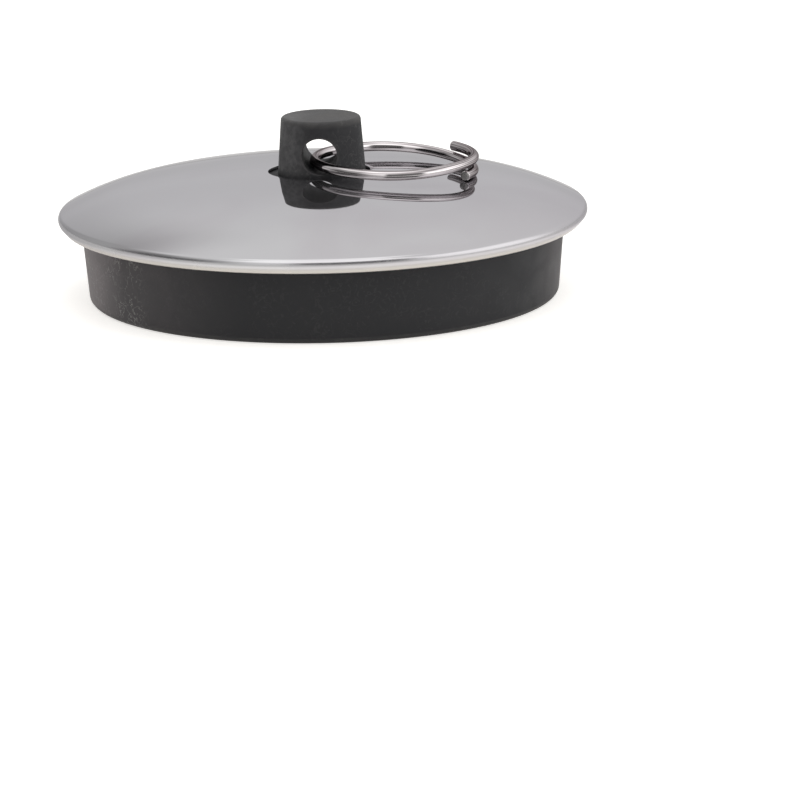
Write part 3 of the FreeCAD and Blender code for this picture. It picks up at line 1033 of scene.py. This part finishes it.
@dataclass
class PullRing:
    """The wire ring: over one turn, flat through the knob, its ends stepping past each other at the tip."""

    hinge: np.ndarray
    finish: DrawnWire = DrawnWire()
    wire_radius: float = 0.75 * MM
    radius: float = 12.0 * MM
    centre: float = 11.038 * MM
    drop: float = 1.4977 * MM
    turn_gap: float = 0.5 * MM
    low_end: float = math.radians(25.0)
    high_end: float = math.radians(44.0)
    step_turn: float = math.radians(110.0)
    lie: float = math.radians(-2.2433)
    chamfer: float = 0.15 * MM
    end_ring: float = 0.45
    spacing: float = 0.22 * MM
    least_points: int = 4
    columns: int = 48

    def station(self, turn: float, height: float) -> np.ndarray:
        """A point of the ring's circle, at an angle from its tip and a height above its plane."""
        x = self.centre + self.radius * math.cos(turn)
        return np.array([x, self.radius * math.sin(turn), height - self.drop])

    def way(self, turn: float) -> np.ndarray:
        """The direction of the ring's circle at an angle from its tip."""
        return np.array([-math.sin(turn), math.cos(turn), 0.0])

    def arc_from(self, start: np.ndarray, way: np.ndarray, end: np.ndarray) -> np.ndarray:
        """The arc that leaves start along a unit direction and passes through end.

        With n the direction square to way in the plane of way and the chord, a point is
        start + R (way sin a + n (1 - cos a)), where R is half the chord over the sine of half the turn.

        Args:
            start: First point.
            way: Unit direction at the first point.
            end: Last point.

        Returns:
            The (n, 3) points, about one spacing apart.
        """
        chord = end - start
        length = np.linalg.norm(chord)
        half = math.acos(float(np.clip(way @ chord / length, -1.0, 1.0)))
        side = chord - (chord @ way) * way
        side = side / np.linalg.norm(side)
        bend = length / (2.0 * math.sin(half))
        count = max(self.least_points, int(2.0 * half * bend / self.spacing))
        angle = np.linspace(0.0, 2.0 * half, count)[:, None]
        return start + bend * (way * np.sin(angle) + side * (1.0 - np.cos(angle)))

    def biarc(
        self, start: np.ndarray, way: np.ndarray, end: np.ndarray, end_way: np.ndarray
    ) -> list[np.ndarray]:
        """Two arcs that meet smoothly, at the middle of the two tangents' tips set at one equal reach.

        Args:
            start: First point.
            way: Unit direction at the first point.
            end: Last point.
            end_way: Unit direction at the last point.

        Returns:
            The points of the two arcs, in order.
        """
        chord = end - start
        spread = 2.0 * (1.0 - way @ end_way)
        along = chord @ (way + end_way)
        reach = (math.sqrt(along**2 + spread * (chord @ chord)) - along) / spread
        joint = (start + way * reach + end - end_way * reach) / 2.0
        return [self.arc_from(start, way, joint), self.arc_from(end, -end_way, joint)[::-1]]

    def path(self) -> np.ndarray:
        """Centre line of the wire: lower end, climb, flat far and near sides, rise, and the upper end.

        Returns:
            The (n, 3) points, in the ring's own frame.
        """
        step = self.wire_radius + self.turn_gap / 2.0
        tip = 2.0 * math.pi
        low, high = self.station(0.0, -step), self.station(tip, step)
        far, near = self.station(self.step_turn, 0.0), self.station(tip - self.step_turn, 0.0)
        middle = self.station(math.pi, 0.0)
        stretches = [
            self.arc_from(self.station(-self.low_end, -step), self.way(-self.low_end), low),
            *self.biarc(low, self.way(0.0), far, self.way(self.step_turn)),
            self.arc_from(far, self.way(self.step_turn), middle),
            self.arc_from(middle, self.way(math.pi), near),
            *self.biarc(near, self.way(tip - self.step_turn), high, self.way(tip)),
            self.arc_from(high, self.way(tip), self.station(tip + self.high_end, step)),
        ]
        return chained(stretches)

    def build(self) -> bpy.types.Object:
        """Carries a circle along the centre line, draws in its ends, closes them and lays the ring down.

        A point is path + r (n cos a + b sin a), with n level and square to the wire and b square to both.

        Returns:
            The ring, in place of its node.
        """
        path = self.path()
        way = np.gradient(path, axis=0)
        way /= np.linalg.norm(way, axis=1)[:, None]
        starts, ends = path[0] - way[0] * self.chamfer, path[-1] + way[-1] * self.chamfer
        path = np.concatenate([[starts, starts], path, [ends, ends]])
        way = np.concatenate([way[[0, 0]], way, way[[-1, -1]]])
        inner = self.wire_radius - self.chamfer
        radius = np.full(len(path), self.wire_radius)
        radius[[1, -2]] = inner
        radius[[0, -1]] = self.end_ring * inner
        level = np.cross([0.0, 0.0, 1.0], way)
        level /= np.linalg.norm(level, axis=1)[:, None]
        upright = np.cross(way, level)
        turn = np.linspace(0.0, 2.0 * np.pi, self.columns, endpoint=False)
        cos, sin = np.cos(turn)[None, :, None], np.sin(turn)[None, :, None]
        across = level[:, None] * cos + upright[:, None] * sin
        points = path[:, None] + radius[:, None, None] * across
        along = np.concatenate([[0.0], np.cumsum(np.linalg.norm(np.diff(path, axis=0), axis=1))])
        lay = np.stack(np.broadcast_arrays(np.cos(turn), np.sin(turn), along[:, None]), axis=-1)
        cut = np.zeros(len(path))
        cut[[0, 1, -2, -1]] = 1.0
        flat = np.concatenate([points.reshape(-1, 3), [starts, ends]])
        total = points.shape[0] * points.shape[1]
        faces = [grid_quads(len(path), self.columns), *end_fans(total, self.columns)]
        marks = {
            Mark.WEAR: np.concatenate([np.repeat(cut, self.columns), [1.0, 1.0]]),
            Mark.LAY: np.concatenate([lay.reshape(-1, 3), [[0.0, 0.0, along[0]], [0.0, 0.0, along[-1]]]]),
        }
        skin = Skin("pull_ring_wire")
        skin.add(self.laid(flat), faces, marks)
        piece = skin.piece(self.finish.material())
        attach(piece, Body.RING.value)
        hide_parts("pull_ring")
        return piece

    def laid(self, points: np.ndarray) -> np.ndarray:
        """Points of the ring's own frame, turned about the bore by the angle at which the ring lies.

        Args:
            points: The (n, 3) points, with the bore's axis along Y through the origin.

        Returns:
            The (n, 3) points in the model's frame.
        """
        x, z = points[:, 0], points[:, 2]
        cos, sin = math.cos(self.lie), math.sin(self.lie)
        return np.stack([x * cos - z * sin, points[:, 1], x * sin + z * cos], axis=-1) + self.hinge


# Studio


@dataclass(frozen=True)
class Softbox:
    """A rectangular lamp aimed at the stopper."""

    name: str
    place: Triple
    size: Pair
    radiance: float

    def build(self, target: Vector) -> bpy.types.Object:
        """Makes the lamp; its power is its radiance times pi times its area.

        Args:
            target: The point that it faces.

        Returns:
            The lamp's object.
        """
        lamp = bpy.data.lights.new(self.name, "AREA")
        lamp.shape = "RECTANGLE"
        lamp.size, lamp.size_y = self.size
        lamp.energy = self.radiance * math.pi * self.size[0] * self.size[1]
        made = placed(self.name, lamp)
        made.location = self.place
        made.rotation_mode = "QUATERNION"
        made.rotation_quaternion = (target - Vector(self.place)).to_track_quat("-Z", "Y")
        made.visible_glossy = False
        return made


@dataclass(frozen=True)
class Panel:
    """A bright or dark patch of the tent, with soft borders.

    Angles are degrees, azimuth 0 being the camera's side. The feather is the width of the soft border on the
    left, on the right, and above and below.
    """

    azimuth: Pair
    elevation: Pair
    radiance: float
    feather: Triple

    def share(self, azimuth: np.ndarray, elevation: np.ndarray) -> np.ndarray:
        """How much of the panel shows: a smooth window in azimuth times one in elevation.

        Args:
            azimuth: Degrees to the right of the camera's side.
            elevation: Degrees above the floor.

        Returns:
            1 inside the panel, falling to 0 over its feather.
        """
        left, right, level = self.feather
        wide = smooth_step(azimuth, self.azimuth[0] - left, self.azimuth[0])
        wide = wide * (1.0 - smooth_step(azimuth, self.azimuth[1], self.azimuth[1] + right))
        tall = smooth_step(elevation, self.elevation[0] - level, self.elevation[0])
        return wide * tall * (1.0 - smooth_step(elevation, self.elevation[1], self.elevation[1] + level))


@dataclass(frozen=True)
class Tent:
    """The soft white tent round the table, which only polished metal and sheen see."""

    radius: float = 1.6
    lowest: float = -6.0
    step: float = 3.0
    plain: float = 1.0
    panels: tuple[Panel, ...] = (
        Panel((-190.0, -130.0), (-9.0, 14.0), 0.93, (1.0, 40.0, 16.0)),
        Panel((130.0, 190.0), (-9.0, 14.0), 0.96, (40.0, 1.0, 16.0)),
        Panel((-190.0, 190.0), (-9.0, 0.0), 0.84, (1.0, 1.0, 9.0)),
        Panel((-190.0, -120.0), (-9.0, 1.0), 0.74, (1.0, 40.0, 12.0)),
        Panel((120.0, 190.0), (-9.0, 1.0), 0.77, (40.0, 1.0, 12.0)),
        Panel((-40.0, 40.0), (46.0, 99.0), 1.6, (20.0, 20.0, 16.0)),
        Panel((-40.0, 40.0), (-9.0, 10.0), 1.0, (20.0, 20.0, 14.0)),
        Panel((42.0, 98.0), (-9.0, 34.0), 1.6, (16.0, 30.0, 16.0)),
        Panel((-6.0, 38.0), (-9.0, 31.0), 0.17, (6.0, 12.0, 14.0)),
        Panel((-140.0, -84.0), (-9.0, 40.0), 0.52, (33.0, 20.0, 16.0)),
        Panel((-80.0, -54.0), (-9.0, 13.0), 0.12, (24.0, 28.0, 50.0)),
        Panel((-190.0, 190.0), (76.0, 99.0), 1.5, (1.0, 1.0, 10.0)),
    )

    def build(self, middle: Vector) -> bpy.types.Object:
        """Makes the tent as a half sphere of glowing cloth.

        A point is middle + radius (cos e sin a, -cos e cos a, sin e), and its glow is the plain radiance
        drawn towards each panel's own by the panel's share, in order.

        Args:
            middle: Centre of the half sphere.

        Returns:
            The tent's object.
        """
        azimuth = np.arange(-180.0, 180.0, self.step)[None, :]
        elevation = np.arange(self.lowest, 90.0, self.step)[:, None]
        glow = np.full((elevation.size, azimuth.size), self.plain)
        for panel in self.panels:
            glow += panel.share(azimuth, elevation) * (panel.radiance - glow)
        a, e = np.radians(azimuth), np.radians(elevation)
        way = np.broadcast_arrays(np.cos(e) * np.sin(a), -np.cos(e) * np.cos(a), np.sin(e))
        points = np.array(middle) + self.radius * np.stack(way, axis=-1)
        top = np.array(middle) + np.array([0.0, 0.0, self.radius])
        material, sheet, surface = bare_material("tent_cloth")
        light = sheet.add("ShaderNodeEmission", {"Strength": sheet.mark(Mark.GLOW, "Fac")})
        sheet.feed(surface, light.outputs[0])
        rows, columns = glow.shape
        faces = [grid_quads(rows, columns), fan(rows * columns, (rows - 1) * columns, columns)]
        skin = Skin("tent")
        marks = {Mark.GLOW: np.append(glow.ravel(), glow[-1].mean())}
        skin.add(np.concatenate([points.reshape(-1, 3), [top]]), faces, marks)
        made = skin.piece(material)
        made.visible_camera = False
        made.visible_diffuse = False
        made.visible_shadow = False
        made.visible_transmission = False
        return made


@dataclass
class Studio:
    """White floor, soft lamps, a tent for polished metal to mirror, and the camera of the photograph."""

    target: Vector = field(default_factory=lambda: Vector((0.0, 0.0, 10.0 * MM)))
    azimuth: float = math.radians(3.5)
    elevation: float = math.radians(11.51)
    roll: float = math.radians(1.31)
    distance: float = 800.0 * MM
    sensor_width: float = 36.0
    clip: Pair = (0.01, 20.0)
    focal_pixels: float = 5283.0
    picture_pixels: float = 800.0
    target_pixel: Pair = (323.25, 228.1)
    floor_half: float = 3.0
    floor_drop: float = 0.02 * MM
    floor_colour: Colour = (0.80, 0.795, 0.785, 1.0)
    floor_glow: float = 0.62
    mirrored_glow: Pair = (0.60, 0.06)
    mirrored_reach: Pair = (44.0 * MM, 72.0 * MM)
    mirrored_middle: Triple = (10.0 * MM, -8.0 * MM, 0.0)
    glow_colour: Colour = (1.0, 0.98, 0.95, 1.0)
    sky_colour: Colour = (1.0, 1.0, 1.0, 1.0)
    sky_light: float = 0.60
    sky_shown: float = 1.0
    softboxes: tuple[Softbox, ...] = (
        Softbox("overhead_softbox", (0.05, -0.05, 0.75), (0.80, 0.50), 1.7),
        Softbox("right_softbox", (0.75, -0.20, 0.30), (0.50, 0.50), 1.7),
    )
    tent: Tent = Tent()

    def shown(self, sheet: NodeSheet) -> Socket:
        """1 for rays that show the background itself: from the camera, off metal or through glass.

        Args:
            sheet: The node sheet of the background's material or world.

        Returns:
            The switch.
        """
        path = sheet.add("ShaderNodeLightPath", {})
        kinds = [path.outputs[name] for name in ("Is Camera Ray", "Is Glossy Ray", "Is Transmission Ray")]
        return sheet.math("MAXIMUM", *kinds)

    def world(self) -> None:
        """White all round for rays that show it, and an even soft light for the rest."""
        world = bpy.data.worlds.new("studio")
        world.use_nodes = True
        world.node_tree.nodes.clear()
        sheet = NodeSheet(world.node_tree)
        light, white = [
            sheet.add("ShaderNodeBackground", {"Color": self.sky_colour, "Strength": strength}).outputs[0]
            for strength in (self.sky_light, self.sky_shown)
        ]
        mixed = sheet.add("ShaderNodeMixShader", {0: self.shown(sheet), 1: light, 2: white})
        sheet.add("ShaderNodeOutputWorld", {"Surface": mixed.outputs[0]})
        bpy.context.scene.world = world

    def floor(self) -> bpy.types.Object:
        """A pale floor that takes shadows, with a glow for rays that show it, so that it burns out to white.

        Off metal it glows by its distance from a middle instead: bright under the cap, and dim farther out.

        Returns:
            The floor's object.
        """
        material, sheet, surface = bare_material("pale_floor")
        paint = sheet.add("ShaderNodeBsdfDiffuse", {"Color": self.floor_colour})
        apart = {0: sheet.place(), 1: self.mirrored_middle}
        away = sheet.add("ShaderNodeVectorMath", apart, operation="DISTANCE").outputs["Value"]
        depth = sheet.between(away, *self.mirrored_reach, *self.mirrored_glow)
        mirrored = sheet.add("ShaderNodeLightPath", {}).outputs["Is Glossy Ray"]
        level = sheet.add("ShaderNodeMix", {0: mirrored, 2: self.floor_glow, 3: depth}).outputs[0]
        glow = sheet.math("MULTIPLY", self.shown(sheet), level)
        light = sheet.add("ShaderNodeEmission", {"Color": self.glow_colour, "Strength": glow})
        both = sheet.add("ShaderNodeAddShader", {0: paint.outputs[0], 1: light.outputs[0]})
        sheet.feed(surface, both.outputs[0])
        half, z = self.floor_half, -self.floor_drop
        corners = [(-half, -half, z), (half, -half, z), (half, half, z), (-half, half, z)]
        mesh = bpy.data.meshes.new("floor")
        mesh.from_pydata(corners, [], [(0, 1, 2, 3)])
        mesh.materials.append(material)
        made = placed("floor", mesh)
        return made

    def camera(self) -> bpy.types.Object:
        """The photograph's camera, turned so that the target falls on its own pixel of the picture.

        Returns:
            The camera's object.
        """
        data = bpy.data.cameras.new("photo_camera")
        data.sensor_width = self.sensor_width
        data.lens = self.focal_pixels / self.picture_pixels * self.sensor_width
        data.clip_start, data.clip_end = self.clip
        flat, rise = math.cos(self.elevation), math.sin(self.elevation)
        back = Vector((math.sin(self.azimuth) * flat, -math.cos(self.azimuth) * flat, rise))
        look = (-back).to_track_quat("-Z", "Y")
        tilt = Quaternion((0.0, 0.0, 1.0), -self.roll)
        middle = self.picture_pixels / 2.0
        across = (self.target_pixel[0] - middle) / self.focal_pixels
        up = (middle - self.target_pixel[1]) / self.focal_pixels
        aim = Vector((across, up, -1.0)).rotation_difference(Vector((0.0, 0.0, -1.0)))
        made = placed("photo_camera", data)
        made.location = self.target + back * self.distance
        made.rotation_mode = "QUATERNION"
        made.rotation_quaternion = look @ tilt @ aim
        bpy.context.scene.camera = made
        return made

    def build(self) -> None:
        """Sets up the world, the stage, the lamps and the camera."""
        self.world()
        self.floor()
        self.tent.build(self.target)
        for softbox in self.softboxes:
            softbox.build(self.target)
        self.camera()
        bpy.context.scene.view_settings.view_transform = "Standard"


def report_piece(piece: bpy.types.Object, node: str) -> None:
    """Logs a piece's faces and how far its box departs from the box of the node that it replaces.

    Args:
        piece: The finished piece.
        node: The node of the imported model.
    """
    corners = np.array([corner[:] for corner in piece.bound_box])
    low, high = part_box(node)
    apart = max(np.abs(corners.min(axis=0) - low).max(), np.abs(corners.max(axis=0) - high).max())
    log.info("%s: %d faces, box within %.3f mm of %s", piece.name, len(piece.data.polygons), apart / MM, node)


def main() -> None:
    """Builds the cap, the plug, the ring and the studio, in that order."""
    logging.basicConfig(level=logging.INFO, format="%(name)s: %(message)s")
    dome = Dome()
    hinge = np.array(frame["joints"][0]["pos_m"])
    report_piece(SteelCap(dome).build(), "steel_cap")
    report_piece(RubberPlug(dome).build(), "rubber_plug")
    report_piece(PullRing(hinge).build(), "pull_ring")
    Studio().build()


if __name__ == "__main__":
    main()
